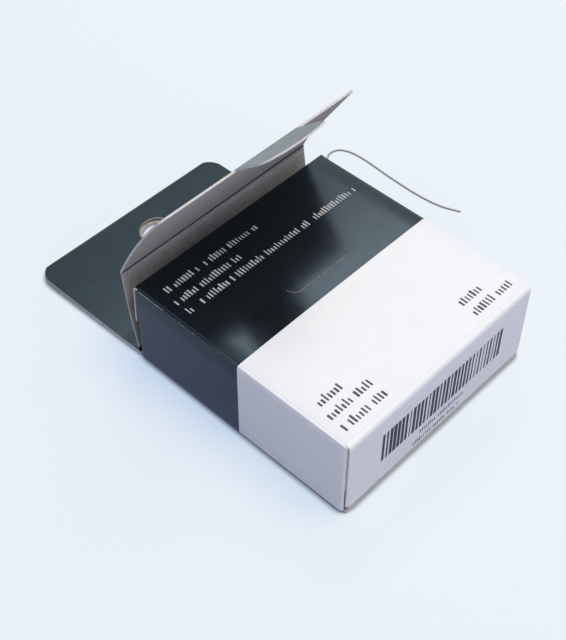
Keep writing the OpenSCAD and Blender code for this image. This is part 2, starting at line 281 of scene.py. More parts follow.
# Bonded multi-filament thread: off-white, silky, with fine filaments that follow its twist.
def makeFloss():
    return makeSurface(
        "bondedFilamentThread", {"Roughness": 0.5, "IOR": 1.5, "Sheen Weight": 0.3}, (0.12, 3),
        (0.35, 0.7, 0, 0.8), ("floss", "flossShade"), (0.02, 0.6),
        lambda tree, place: calculate(tree, "MULTIPLY", blotches(tree, place, 2.5, 2), 0.3),
    )


blackPrint = makeBlackPrint()
whitePrint = makeWhitePrint()
greyBack = makeGreyBack()
crushedShadedBack = makeCrushedShadedBack()
cutCore = makeCutCore()
paleMark = makePlainInk("knockedOutWhite", "paleMark", 0.4)
darkMark = makePlainInk("darkPrintInk", "darkMark", 0.35)
barInk = makePlainInk("blackPrintInk", "bar", 0.35)
kraft = makeKraft()
steel = makeSteel()
flossThread = makeFloss()
print("materials made")


def addPiece(name, mesh):
    piece = bpy.data.objects.new(name, mesh)
    bpy.context.scene.collection.objects.link(piece)
    return piece


def finishPiece(piece, body, slot, *nodes):
    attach(piece, body)
    if nodes:
        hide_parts(*nodes)
    return piece


def meshFrom(bm, name, materials, sharpAngle=20):
    mesh = bpy.data.meshes.new(name)
    bm.to_mesh(mesh)
    bm.free()
    for material in materials:
        mesh.materials.append(material)
    mesh.set_sharp_from_angle(angle=math.radians(sharpAngle))
    return mesh


# The loose end of floss comes first, because it is the one cord. Its route repeats the CAD's.
flossEnd = {
    "diameter": 0.3,
    "length": 92.1,
    "lobes": 3,
    "lobeDepth": 0.07,  # share of the radius
    "twist": 2.6,  # mm of length for a whole turn of the twist
    "stepsPerSpan": 24,
    "route": [
        (-10.201, 16.325, 4.25), (-7.2, 18.5, 3.65), (-4, 20.7, 3.05), (-1, 22.7, 2.45), (1.8, 24.3, 1.95),
        (4.8, 25.25, 1.55), (8.2, 25.5, 1.25), (12, 25.5, 1.05), (16, 25.5, 0.99), (20, 25.5, 0.98),
        (23.3, 25.55, 0.96), (25.8, 26.1, 0.61), (28.4, 27.5, 0.27), (31.4, 29.7, 0.16),
        (34.8, 32.6, 0.16), (38.2, 35.6, 0.16), (41, 37.4, 0.16), (43.3, 37, 0.16), (44.6, 35, 0.16),
        (45, 32.2, 0.16), (44.9, 28.6, 0.16), (44.6, 24.6, 0.16), (44.4, 20.6, 0.16), (44.3, 16.8, 0.16),
        (44.5, 13, 0.16), (45.1, 9.6, 0.16), (46.5, 6.1, 0.16),
    ],
}


# A Catmull-Rom curve through the route, as the CAD draws it
def smoothRoute(route, steps):
    points = [Vector(p) for p in route]
    padded = [points[0], *points, points[-1]]
    smooth = []
    for a, b, c, d in zip(padded, padded[1:], padded[2:], padded[3:]):
        for k in range(steps):
            t = k / steps
            bend, twist = 2 * a - 5 * b + 4 * c - d, 3 * b - a - 3 * c + d
            smooth.append(0.5 * (2 * b + (c - a) * t + bend * t * t + twist * t ** 3))
    return smooth + [points[-1]]


# Joins each ring of points to the next with smooth faces
def joinRings(bm, rings):
    for first, second in zip(rings, rings[1:]):
        for k in range(len(first)):
            j = (k + 1) % len(first)
            bm.faces.new((first[k], first[j], second[j], second[k])).smooth = True


# A lobed tube whose section turns as it goes, with closed ends
def twistedTube(points, cord, sides=12):
    bm = bmesh.new()
    rings, up, gone = [], Vector((0, 0, 1)), 0
    for i, point in enumerate(points):
        heading = (points[min(i + 1, len(points) - 1)] - points[max(i - 1, 0)]).normalized()
        up = (up - heading * up.dot(heading)).normalized()
        side = heading.cross(up)
        if i:
            gone += (point - points[i - 1]).length
        turned = 2 * math.pi * gone / cord["twist"]
        ring = []
        for k in range(sides):
            angle = 2 * math.pi * k / sides
            lobe = cord["lobeDepth"] * (math.cos(cord["lobes"] * (angle - turned)) - 1)
            reach = cord["diameter"] / 2 * (1 + lobe)
            ring.append(bm.verts.new((point + (up * math.cos(angle) + side * math.sin(angle)) * reach) * mm))
        rings.append(ring)
    joinRings(bm, rings)
    bm.faces.new(rings[0])
    bm.faces.new(rings[-1])
    bmesh.ops.recalc_face_normals(bm, faces=bm.faces[:])
    return bm


flossPoints = smoothRoute(flossEnd["route"], flossEnd["stepsPerSpan"])
flossMesh = meshFrom(twistedTube(flossPoints, flossEnd), "flossStrand", [flossThread], 60)
flossStrand = finishPiece(addPiece("flossStrand", flossMesh), "carton", "floss", "floss_strand")
flossLength = sum((b - a).length for a, b in zip(flossPoints, flossPoints[1:]))
print("floss strand made,", round(flossLength, 2), "mm long")


# The arc that rounds a corner: its two ends, its centre and half the corner's angle
def cornerArc(before, corner, after, radius):
    back, ahead = (before - corner).normalized(), (after - corner).normalized()
    half = back.angle(ahead) / 2
    reach = radius / math.tan(half)
    centre = corner + (back + ahead).normalized() * radius / math.sin(half)
    return corner + back * reach, corner + ahead * reach, centre, half


# A line through 2-D points with its corners rounded, as (start, end, arc centre, length) pieces
def roundedPath(points, radii):
    points = [Vector(p) for p in points]
    pieces, start = [], points[0]
    for i, radius in enumerate(radii, 1):
        first, last, centre, half = cornerArc(*points[i - 1 : i + 2], radius)
        pieces.append((start, first, None, (first - start).length))
        pieces.append((first, last, centre, radius * (math.pi - 2 * half)))
        start = last
    pieces.append((start, points[-1], None, (points[-1] - start).length))
    return pieces


# The point and heading at a distance along such a line
def pathPoint(pieces, distance):
    for number, (first, last, centre, length) in enumerate(pieces):
        if distance <= length or number == len(pieces) - 1:
            break
        distance -= length
    share = distance / length
    if centre is None:
        return first.lerp(last, share), (last - first).normalized()
    begin = math.atan2(*(first - centre).yx)
    turn = (math.atan2(*(last - centre).yx) - begin + math.pi) % (2 * math.pi) - math.pi
    angle, radius = begin + turn * share, (first - centre).length
    heading = Vector((-math.sin(angle), math.cos(angle))) * (1 if turn > 0 else -1)
    return centre + Vector((math.cos(angle), math.sin(angle))) * radius, heading


def pathLength(pieces):
    return sum(piece[3] for piece in pieces)


# Where a line needs cuts: finely over its arcs, with a cut close on each side, and now and then between
def pathCuts(pieces, step, arcSteps=7, support=0.12):
    cuts, done = [], 0
    for first, last, centre, length in pieces:
        if centre is None:
            count = max(1, round(length / step))
            cuts += [done + length * k / count for k in range(1, count)]
            cuts += [done + support, done + length - support] if length > 3 * support else []
        else:
            cuts += [done + length * k / arcSteps for k in range(arcSteps + 1)]
        done += length
    return sorted(set(round(c, 5) for c in cuts if 0.01 < c < done - 0.01))


def evenCuts(low, high, step):
    count = max(1, round((high - low) / step))
    return [low + (high - low) * k / count for k in range(1, count)]


# Lays a flat point on a folded line. Which plane the line is drawn in gives the axis that it runs across.
# side says whether the printed face is on the right (1) or the left (-1) of the line's heading.
def foldedPlace(pieces, plane, side, shift=None):
    def place(across, along, height):
        point, heading = pathPoint(pieces, along)
        lift = height + (shift(across, along, height) if shift else 0)
        point = point + Vector((heading.y, -heading.x)) * lift * side
        return (across, point.x, point.y) if plane == "YZ" else (point.x, point.y, across)

    return place


# A closed outline with rounded corners, anticlockwise. Each corner is (x, y, radius).
def roundedOutline(corners, steps=7):
    outline = []
    for i, (x, y, radius) in enumerate(corners):
        if radius <= 0:
            outline.append((x, y))
            continue
        corner = Vector((x, y))
        neighbours = [Vector(corners[k % len(corners)][:2]) for k in (i - 1, i + 1)]
        first, last, centre, half = cornerArc(neighbours[0], corner, neighbours[1], radius)
        turn = math.copysign(math.pi - 2 * half, (last - corner).cross(first - corner))
        for k in range(steps + 1):
            outline.append(tuple(centre + Matrix.Rotation(turn * k / steps, 2) @ (first - centre)))
    return outline


# A flap that starts on its crease, with its two far corners rounded
def flapOutline(left, right, length, corner):
    return roundedOutline([(left, 0, 0), (right, 0, 0), (right, length, corner), (left, length, corner)])


boards = {
    "black": [blackPrint, greyBack, cutCore],
    "white": [whitePrint, greyBack, cutCore],
}
boardThick = 0.4
halfBoard = boardThick / 2


def cutThrough(bm, cuts, normal):
    for cut in cuts:
        parts = bm.verts[:] + bm.edges[:] + bm.faces[:]
        bmesh.ops.bisect_plane(bm, geom=parts, dist=0.0005, plane_co=normal * cut, plane_no=normal)


# The level edges round the board's printed side or its back
def rimEdges(bm):
    for edge in bm.edges:
        level = abs(edge.verts[0].co.z - edge.verts[1].co.z) < 1e-6
        if level and len(edge.link_faces) == 2 and edge.calc_face_angle() > 1:
            yield edge


# Cuts a flat outline from board, grids it, softens its cut edges and lays it in place.
# Materials are the printed face, the back, the cut edge and, past the split, a second printed face.
# The cutting rule rolls the print over the edge, while the back's rim stays nearly sharp.
def boardPiece(name, outline, place, cuts, materials, rim=0.04, roll=0.11, holes=(), split=None):
    bm = bmesh.new()
    edges = []
    for ring in [outline, *holes]:
        verts = [bm.verts.new((x, y, halfBoard)) for x, y in ring]
        edges += [bm.edges.new((verts[i - 1], verts[i])) for i in range(len(verts))]
    if holes:
        bmesh.ops.triangle_fill(bm, use_beauty=True, edges=edges)
        bmesh.ops.dissolve_limit(bm, angle_limit=0.01, verts=bm.verts[:], edges=bm.edges[:])
    else:
        bm.faces.new(verts)
    cutThrough(bm, cuts[0], Vector((1, 0, 0)))
    cutThrough(bm, cuts[1], Vector((0, 1, 0)))
    grown = bmesh.ops.extrude_face_region(bm, geom=bm.faces[:], use_keep_orig=True)
    for item in grown["geom"]:
        if isinstance(item, bmesh.types.BMVert):
            item.co.z -= boardThick
    bmesh.ops.recalc_face_normals(bm, faces=bm.faces[:])
    rims = list(rimEdges(bm))
    upper = [e for e in rims if e.verts[0].co.z > 0]
    lower = [e for e in rims if e.verts[0].co.z < 0]
    bevel = {"segments": 2, "profile": 0.5, "affect": "EDGES", "clamp_overlap": True}
    bmesh.ops.bevel(bm, geom=upper, offset=roll, **bevel)
    bmesh.ops.bevel(bm, geom=lower, offset=rim, **bevel)
    bm.normal_update()
    for face in bm.faces:
        face.smooth = True
        if face.normal.z > 0.2:
            face.material_index = 3 if split is not None and face.calc_center_median().x < split else 0
        elif face.normal.z < -0.2:
            face.material_index = 1
        else:
            face.material_index = 2
    for vert in bm.verts:
        vert.co = Vector(place(*vert.co)) * mm
    if bm.calc_volume(signed=True) < 0:
        bmesh.ops.reverse_faces(bm, faces=bm.faces[:])
    return addPiece(name, meshFrom(bm, name, materials))


# A board piece of one colour that rides on one body
def addFlap(name, colour, body, nodes, outline, place, cuts, **edges):
    piece = boardPiece(name, outline, place, cuts, boards[colour], **edges)
    return finishPiece(piece, body, colour + "_print", *nodes)


# A four-cornered flap between two ends of a straight line, cut into a grid of about these steps
def addPanel(name, colour, body, node, ends, left, right, corner, grid, shape=None, plane="YZ", side=1):
    line = roundedPath(ends, [])
    length = pathLength(line)
    addFlap(
        name, colour, body, [node],
        flapOutline(left, right, length, corner),
        foldedPlace(line, plane, side, shape),
        (evenCuts(left, right, grid[0]), evenCuts(0, length, grid[1])),
    )


# The carton's tube: one strip of board from the right side's free edge over the front, left side
# and back to the seam flap glued inside the right side
carton = {
    "halfWidth": 24.3,
    "depth": 18.3,
    "fold": 0.3,  # radius of a crease to the middle of the board
    "rightFoot": 0.14,  # how low the right side's free edge reaches
    "lidEnd": 24.05,  # where the panels stop and the rolled ends begin
    "baseEnd": 24.0,
    "backEnd": 25.0,
    "seamEnd": 23.0,
    "seamX": 23.68,
    "seamTop": 12.8,
    "seamFold": 0.25,
    "split": -0.6,  # black towards the lid, white towards the base
    "bulge": 0.22,
    "bulgeReach": (24, 25),
    "slit": (1.0, 3.2),
    "slitWidth": 14.8,
    "slitRadius": 1.8,
    "slitGap": 0.13,
    "slitSteps": 40,
    "score": 0.11,  # depth of the creasing rule's groove along each fold
    "scoreWidth": 0.19,
    "edgeRoll": 0.07,
}
middleX = carton["halfWidth"] - halfBoard
topZ = carton["depth"] - halfBoard
tubeLine = roundedPath(
    [
        (middleX, carton["rightFoot"]),
        (middleX, topZ),
        (-middleX, topZ),
        (-middleX, halfBoard),
        (carton["seamX"], halfBoard),
        (carton["seamX"], carton["seamTop"]),
    ],
    [carton["fold"]] * 3 + [carton["seamFold"]],
)
tubeMarks = [0]
for tubePart in tubeLine:
    tubeMarks.append(tubeMarks[-1] + tubePart[3])
rolledLength = carton["fold"] * math.pi / 2


# How far the front panel stands up in its middle
def frontBulge(x, y):
    reachX, reachY = carton["bulgeReach"]
    return carton["bulge"] * max(0, 1 - (x / reachX) ** 2) * max(0, 1 - (y / reachY) ** 2)


def tubePlace(y, along, height):
    point, heading = pathPoint(tubeLine, along)
    outward = Vector((heading.y, -heading.x))
    onFrontPanel = tubeMarks[2] < along < tubeMarks[3]
    onSide = along <= tubeMarks[2] + 1e-6 or tubeMarks[3] - 1e-6 <= along <= tubeMarks[5]
    start = carton["lidEnd"] if y > 0 else -carton["baseEnd"]
    past = abs(y) - abs(start)
    radius = carton["fold"]
    if onSide and past > 0:
        turn = min(past / radius, math.pi / 2)
        point = point + outward * ((radius + height) * math.cos(turn) - radius)
        y = start + math.copysign((radius + height) * math.sin(turn), y)
    else:
        near = sum(math.exp(-(((along - mark) / carton["scoreWidth"]) ** 2)) for mark in tubeMarks[1:5])
        point = point + outward * (height - carton["score"] * near)
    if onFrontPanel:
        point.y += frontBulge(point.x, y)
    return point.x, y, point.y


def steppedOutline():
    base, lid = carton["baseEnd"], carton["lidEnd"]
    # From, to, near end and lid end of each panel along the strip
    panels = [
        (0, 2, base + rolledLength, lid + rolledLength),
        (2, 3, base, lid),
        (3, 5, base + rolledLength, lid + rolledLength),
        (5, 6, base + carton["fold"], lid + carton["fold"]),
        (6, 7, carton["backEnd"], carton["backEnd"]),
        (7, 9, carton["seamEnd"], carton["seamEnd"]),
    ]
    nearChain = [(-near, tubeMarks[k]) for first, last, near, far in panels for k in (first, last)]
    lidChain = [(far, tubeMarks[k]) for first, last, near, far in panels for k in (first, last)]
    return nearChain + lidChain[::-1]


# The locking slit's thin ring, with both ends turned towards the lid
def slitRing():
    half, radius = carton["slitWidth"] / 2, carton["slitRadius"]
    ends = radius + 0.05  # a little past the end of each arc
    line = roundedPath([(-half, ends), (-half, 0), (half, 0), (half, ends)], [radius] * 2)
    length = pathLength(line)
    sides = {1: [], -1: []}
    for side in sides:
        for k in range(carton["slitSteps"] + 1):
            point, heading = pathPoint(line, length * k / carton["slitSteps"])
            point = point + Vector((-heading.y, heading.x)) * side * carton["slitGap"] / 2
            x, y = carton["slit"][0] + point.x, carton["slit"][1] + point.y
            sides[side].append((y, tubeMarks[2] + middleX - carton["fold"] - x))
    return sides[1] + sides[-1][::-1]


# Cuts close to the rolled ends and over them
def rolledCuts():
    lid, base = carton["lidEnd"], carton["baseEnd"]
    steps = [rolledLength * k / 5 for k in range(1, 5)]
    return [-base, -base + 0.2, lid - 0.2, lid, *[lid + s for s in steps], *[-base - s for s in steps]]


tubeAcross = evenCuts(-20, 20, 5) + [-22, -20, 20, 22, carton["split"]] + rolledCuts()
creaseCuts = [mark + d for mark in tubeMarks[1:5] for d in (-0.3, -0.2, -0.1, 0.1, 0.2, 0.3)]
tube = boardPiece(
    "cartonTube",
    steppedOutline(),
    tubePlace,
    (tubeAcross, sorted(set(pathCuts(tubeLine, 4) + creaseCuts))),
    [*boards["black"], whitePrint],
    holes=[slitRing()],
    split=carton["split"],
    roll=carton["edgeRoll"],
)
tubeNodes = ["front_panel", "back_panel", "left_side_panel", "right_side_panel", "seam_flap"]
finishPiece(tube, "carton", "white_print", *tubeNodes)
print("carton tube made")

# The cutter flap rolls over from the front panel's lid edge and hangs down
cutter = {
    "halfWidth": 24.1,
    "corner": 0.8,
    "foldY": 24.79,
    "foot": (25.25, 8.7),
    "cutSpan": 23.3,
    "edgeRoll": 0.06,
}
cutterRoute = [(carton["lidEnd"], topZ), (cutter["foldY"], topZ), cutter["foot"]]
cutterLine = roundedPath(cutterRoute, [carton["fold"]])
addFlap(
    "cutterFlap", "black", "carton", ["cutter_flap"],
    flapOutline(-cutter["halfWidth"], cutter["halfWidth"], pathLength(cutterLine), cutter["corner"]),
    foldedPlace(cutterLine, "YZ", -1),
    (evenCuts(-cutter["cutSpan"], cutter["cutSpan"], 5), pathCuts(cutterLine, 3)),
    roll=cutter["edgeRoll"],
)

# Dust flaps go on from the rolled ends of the side panels
dustRootX = 23.8
dustFlaps = {
    "lid": {"y": 24.35, "tipX": 3.9, "low": 0.7, "high": 17.6, "corner": 2.5, "colour": "black", "turn": 1},
    "base": {"y": -24.3, "tipX": 5.9, "low": 6.0, "high": 17.6, "corner": 2.5, "colour": "white", "turn": -1},
}
for end, flap in dustFlaps.items():
    for sideName, side in (("Left", -1), ("Right", 1)):
        addPanel(
            f"{end}DustFlap{sideName}", flap["colour"], "carton", f"{end}_dust_flap_{sideName.lower()}",
            [(dustRootX * side, flap["y"]), (flap["tipX"] * side, flap["y"])],
            flap["low"], flap["high"], flap["corner"], (4, 4), plane="XY", side=side * flap["turn"],
        )
print("flaps made")

# The hang tab: the back panel runs out, folds over at the far edge and comes back on top
tab = {
    "width": 46.4,
    "shiftX": -0.9,
    "skew": 0.6,
    "length": 29.2,
    "corner": 3.8,
    "tipY": 54.0,
    "foldY": 53.5,
    "foldTop": 1.2,
    "foldRadius": 0.499,
    "frontPly": 0.6,  # height of the front ply's middle near the carton
    "frontPlyEnd": 25.1,
    "rampStart": 30,
    "rampRadius": 60,
    "hole": (-0.6, 45.8, 3.75),
    "rearHole": 3.2,  # the rear ply's hole shows as a narrow ring inside the front one
    "edgeRoll": 0.14,
}
tabStart = carton["backEnd"]
tabLine = roundedPath(
    [
        (tabStart, halfBoard),
        (tab["tipY"], halfBoard),
        (tab["tipY"], tab["foldTop"]),
        (tab["foldY"], tab["foldTop"]),
        (tab["rampStart"], tab["frontPly"]),
        (tab["frontPlyEnd"], tab["frontPly"]),
    ],
    [tab["foldRadius"], tab["foldRadius"], 0.3, tab["rampRadius"]],
)
tabLength = pathLength(tabLine)


# The tab's left or right edge at a distance y from the carton's middle
def tabEdge(side, y):
    out = min(y - tabStart, tab["length"])
    edge = tab["shiftX"] + side * tab["width"] / 2 - tab["skew"] * out / tab["length"]
    past = out - (tab["length"] - tab["corner"])
    if past > 0:
        edge -= side * (tab["corner"] - math.sqrt(max(0, tab["corner"] ** 2 - past * past)))
    return edge


def tabOutline():
    roundTheFold = {tabLine[0][3] - 3.6 + k * 0.2 for k in range(60)}
    stops = sorted({0, tabLength, *evenCuts(0, tabLength, 2)} | roundTheFold)
    chains = {1: [], -1: []}
    for side in chains:
        for stop in stops:
            point, heading = pathPoint(tabLine, stop)
            outerY = point.x + halfBoard * max(0, 1 - abs(heading.x))
            chains[side].append((tabEdge(side, outerY), stop))
    return chains[1] + chains[-1][::-1]


def ringAt(x, along, radius, steps=48):
    angles = [2 * math.pi * k / steps for k in range(steps)]
    return [(x + radius * math.cos(a), along + radius * math.sin(a)) for a in angles]


holeX, holeY, holeRadius = tab["hole"]
holeOnTop = tabLength - (holeY - tab["frontPlyEnd"])
addFlap(
    "hangTab", "black", "carton", ["hang_tab_rear_ply", "hang_tab_front_ply"],
    tabOutline(),
    foldedPlace(tabLine, "YZ", 1),
    (evenCuts(-24, 22, 6), pathCuts(tabLine, 5)),
    roll=tab["edgeRoll"],
    holes=[ringAt(holeX, holeY - tabStart, tab["rearHole"]), ringAt(holeX, holeOnTop, holeRadius)],
)
print("hang tab made")

# The swinging strip: end panel, cover flap and tongue, each from its crease along its own direction
strip = {
    "left": -23.6,
    "right": 23.0,
    "creaseRoom": 0.5,  # each crease piece reaches this far on either side of its axis
    "lidFoot": (27.2, 26.132, 0.59),  # the lid crease starts at the first y, turns at the second, at this z
    "lid": {"pivot": (26.2, 1.1), "angle": 82.4, "length": 18.0},
    "cover": {"pivot": (28.581, 18.942), "angle": 121.2, "length": 23.0, "corner": 1.5, "rightCorner": 0.5},
    "tongue": {"pivot": (16.666, 38.615), "angle": 140.0, "length": 9.8, "middle": 1.0, "width": 14.6},
    "notchRoom": 0.15,  # beside the tongue's root
    "lidBow": 0.25,
    "coverBow": 0.62,
    "coverLift": 0.15,
    "rightBow": 0.55,
    "rightLift": 0.2,
    "tongueBow": 0.12,
}


def alongPart(part, distance):
    angle = math.radians(part["angle"])
    return Vector(part["pivot"]) + Vector((math.cos(angle), math.sin(angle))) * distance


# How far a point across the strip is towards its left edge, 0 to 1
def towardsLeft(x):
    return min(1, max(0, (strip["right"] - x) / (strip["right"] - strip["left"])))


# How far a panel bellies at a share of its length, 1 in the middle
def belly(share):
    return 4 * share * (1 - share)


lidPart, coverPart, tonguePart = strip["lid"], strip["cover"], strip["tongue"]
room = strip["creaseRoom"]
lidSpan = lidPart["length"] - 2 * room


def lidShape(x, along, height):
    return strip["lidBow"] * belly(along / lidSpan) * towardsLeft(x)


addPanel(
    "lidEndPanel", "black", "lid", "lid_end_panel",
    [alongPart(lidPart, room), alongPart(lidPart, lidPart["length"] - room)],
    strip["left"], strip["right"], 0, (5, 2.1), lidShape,
)


# The cover flap bellies outwards: most of all halfway up its left edge, and near the crease on the right
def coverShape(x, along):
    share = min(1, max(0, along / coverPart["length"]))
    left = towardsLeft(x)
    bow = strip["coverBow"] * belly(share) * left ** 1.3
    bow += strip["rightBow"] * math.sin(math.pi * math.sqrt(share)) * (1 - left)
    return bow + share ** 2 * (strip["coverLift"] * left ** 3 + strip["rightLift"] * (1 - left) ** 0.6)


tongueHalf = tonguePart["width"] / 2
tongueLeft, tongueRight = tonguePart["middle"] - tongueHalf, tonguePart["middle"] + tongueHalf
coverSpan = coverPart["length"] - room


# The cover flap from its crease, with a notch where the tongue's crease piece starts
def coverOutline():
    notchLeft, notchRight = tongueLeft - strip["notchRoom"], tongueRight + strip["notchRoom"]
    return roundedOutline([
        (strip["left"], 0, 0),
        (strip["right"], 0, 0),
        (strip["right"], coverSpan, coverPart["rightCorner"]),
        (notchRight, coverSpan, 0.2),
        (notchRight, coverSpan - room, 0.15),
        (notchLeft, coverSpan - room, 0.15),
        (notchLeft, coverSpan, 0.2),
        (strip["left"], coverSpan, coverPart["corner"]),
    ])


# The tongue's sides lift a little, and its root follows the cover flap's free edge
def tongueShape(x, along):
    share = min(1, along / tonguePart["length"])
    off = (x - tonguePart["middle"]) / tongueHalf
    root = coverShape(x, coverPart["length"]) * (1 - share)
    return root + strip["tongueBow"] * off * off * share ** 0.7


# The tongue's crowned outline from its crease piece on, with its left corner well rounded
def tongueOutline():
    length, middle = tonguePart["length"] - room, tonguePart["middle"]
    return roundedOutline([
        (tongueLeft, 0, 0),
        (tongueRight, 0, 0),
        (tongueRight, length - 1.3, 0.8),
        (middle + tongueHalf / 2, length - 0.35, 9),
        (middle, length, 9),
        (middle - tongueHalf / 2, length - 0.4, 6),
        (tongueLeft, length - 1.9, 2.6),
    ])


def placeOnStrip(part, shape):
    line = roundedPath([alongPart(part, room), alongPart(part, part["length"])], [])
    return foldedPlace(line, "YZ", 1, lambda x, along, height: shape(x, along + room))


addFlap(
    "coverFlap", "black", "cover", ["cover_flap"],
    coverOutline(),
    placeOnStrip(coverPart, coverShape),
    (evenCuts(strip["left"], strip["right"], 2.5), evenCuts(0, coverSpan, 1.6)),
)
addFlap(
    "lockingTongue", "black", "tongue", ["locking_tongue"],
    tongueOutline(),
    placeOnStrip(tonguePart, tongueShape),
    (evenCuts(tongueLeft, tongueRight, 1.5), evenCuts(0, tonguePart["length"] - room, 1.2)),
)
print("swinging strip made")

# The closed end: a soft roll down from the front panel, the end panel and the tuck flap under it
baseEnd = {
    "halfWidth": 23.75,
    "roll": 0.79,
    "faceY": -24.8,
    "panelTop": 17.3,
    "panelLow": 1.5,
    "bow": 0.12,
    "tuckHalfWidth": 23.15,
    "tuckStart": -24.0,
    "tuckEnd": -13.8,
    "tuckCorner": 3.0,
    "tuckZ": 0.7,
    "tuckFold": 0.29,
}
endTop, endFoot = (baseEnd["faceY"], baseEnd["panelTop"]), (baseEnd["faceY"], baseEnd["panelLow"])
tuckRoot = (baseEnd["tuckStart"], baseEnd["tuckZ"])
basePanelLength = baseEnd["panelTop"] - baseEnd["panelLow"]


# The end panel bellies out very slightly
def basePanelShape(x, along, height=0):
    return baseEnd["bow"] * belly(along / basePanelLength) * max(0, 1 - (x / 24) ** 2)


addPanel(
    "baseEndPanel", "white", "base", "base_end_panel", [endTop, endFoot],
    -baseEnd["halfWidth"], baseEnd["halfWidth"], 0, (5, 2), basePanelShape,
)
addPanel(
    "baseTuckFlap", "white", "base_tuck", "base_tuck_flap",
    [tuckRoot, (baseEnd["tuckEnd"], baseEnd["tuckZ"])],
    -baseEnd["tuckHalfWidth"], baseEnd["tuckHalfWidth"], baseEnd["tuckCorner"], (6, 3),
)
print("closed end made")

# A crease between two bodies is a short strip of board. The bead is the ridge
# that the creasing rule leaves on the inner side. Places along the crease run from 0 in the middle to 1.
crease = {
    "step": 0.06,
    "edge": 0.03,
    "beadWidth": 0.34,
    "groove": 0.5,  # share of the bead's height
    "grooveAt": 0.78,
    "grooveWidth": 0.16,
    "crushedShadeFrom": 0.13,  # share of the whole length from its middle
}


def beadShape(off, height):
    groove = math.exp(-(((abs(off) - crease["grooveAt"]) / crease["grooveWidth"]) ** 2))
    return height * (math.exp(-((off / crease["beadWidth"]) ** 2)) - crease["groove"] * groove)


# Gives the back's faces on both sides of the bead their crushed fibres and the painted shade of the grooves
def crushAndShadeBack(piece, line):
    length = pathLength(line)
    stations = [(k / 60, pathPoint(line, length * k / 60)[0]) for k in range(61)]
    piece.data.materials.append(crushedShadedBack)
    for face in piece.data.polygons:
        at = Vector((face.center.y, face.center.z)) / mm
        share = min(stations, key=lambda station: (station[1] - at).length)[0]
        # painted shade: away from the bead's middle the back is dark, where the grooves fall into shade
        if face.material_index == 1 and abs(share - 0.5) > crease["crushedShadeFrom"]:
            face.material_index = len(piece.data.materials) - 1


def addCrease(name, colour, points, radius, left, right, bead=0.0, shift=None):
    line = roundedPath(points, [radius])
    length = pathLength(line)

    def shape(x, along, height):
        extra = shift(x, along / length) if shift else 0
        if height < 0 and bead:
            extra -= beadShape((along - length / 2) / (length / 2), bead)
        return extra

    piece = boardPiece(
        name,
        [(left, 0), (right, 0), (right, length), (left, length)],
        foldedPlace(line, "YZ", 1, shape),
        (evenCuts(left, right, 2.5), evenCuts(0, length, crease["step"])),
        boards[colour],
        rim=crease["edge"],
        roll=crease["edge"],
    )
    if bead:
        crushAndShadeBack(piece, line)
    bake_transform(piece)


def coverCreaseShift(x, share):
    return coverShape(x, room) * share


def tongueCreaseShift(x, share):
    return coverShape(x, coverPart["length"] - room) * (1 - share) + tongueShape(x, room) * share


footY, turnY, footZ = strip["lidFoot"]
addCrease(
    "lidCrease", "black",
    [(footY, footZ), (turnY, footZ), alongPart(lidPart, room)], 0.45, strip["left"], strip["right"],
)
addCrease(
    "coverCrease", "black",
    [alongPart(lidPart, lidPart["length"] - room), coverPart["pivot"], alongPart(coverPart, room)], 0.5,
    strip["left"], strip["right"], bead=0.3, shift=coverCreaseShift,
)
addCrease(
    "tongueCrease", "black",
    [alongPart(coverPart, coverPart["length"] - room), tonguePart["pivot"], alongPart(tonguePart, room)], 0.5,
    tongueLeft, tongueRight, bead=0.18, shift=tongueCreaseShift,
)
addCrease(
    "baseCrease", "white",
    [(-carton["baseEnd"], topZ), (baseEnd["faceY"], topZ), endTop], baseEnd["roll"],
    -baseEnd["halfWidth"], baseEnd["halfWidth"],
)
addCrease(
    "tuckCrease", "white",
    [endFoot, (baseEnd["faceY"], baseEnd["tuckZ"]), tuckRoot], baseEnd["tuckFold"],
    -baseEnd["tuckHalfWidth"], baseEnd["tuckHalfWidth"],
)
print("creases made")


# A Geometry Nodes tree with these inputs, each (name, socket kind), and one for its material
def newTree(name, inputs):
    tree = bpy.data.node_groups.new(name, "GeometryNodeTree")
    for label, kind in [*inputs, ("Material", "Material")]:
        tree.interface.new_socket(name=label, in_out="INPUT", socket_type="NodeSocket" + kind)
    tree.interface.new_socket(name="Geometry", in_out="OUTPUT", socket_type="NodeSocketGeometry")
    return tree, addNode(tree, "NodeGroupInput").outputs


# Adds a geometry node and gives its first output
def geometryNode(tree, kind, settings):
    return addNode(tree, "GeometryNode" + kind, settings).outputs[0]


def endTree(tree, geometry, material):
    real = geometryNode(tree, "RealizeInstances", {"Geometry": geometry})
    painted = geometryNode(tree, "SetMaterial", {"Geometry": real, "Material": material})
    addNode(tree, "NodeGroupOutput", {"Geometry": painted})


def addVector(tree, **parts):
    return addNode(tree, "ShaderNodeCombineXYZ", parts).outputs["Vector"]


# Runs a tree with these inputs and gives its result as a plain mesh
def meshFromTree(tree, values):
    holder = addPiece("holder", bpy.data.meshes.new("holder"))
    modifier = holder.modifiers.new("nodes", "NODES")
    modifier.node_group = tree
    for item in tree.interface.items_tree:
        if item.in_out == "INPUT" and item.name in values:
            modifier[item.identifier] = values[item.name]
    graph = bpy.context.evaluated_depsgraph_get()
    result = holder.evaluated_get(graph)
    mesh = bpy.data.meshes.new_from_object(result, preserve_all_data_layers=True, depsgraph=graph)
    holder.modifiers.remove(modifier)
    bpy.data.objects.remove(holder)
    return mesh


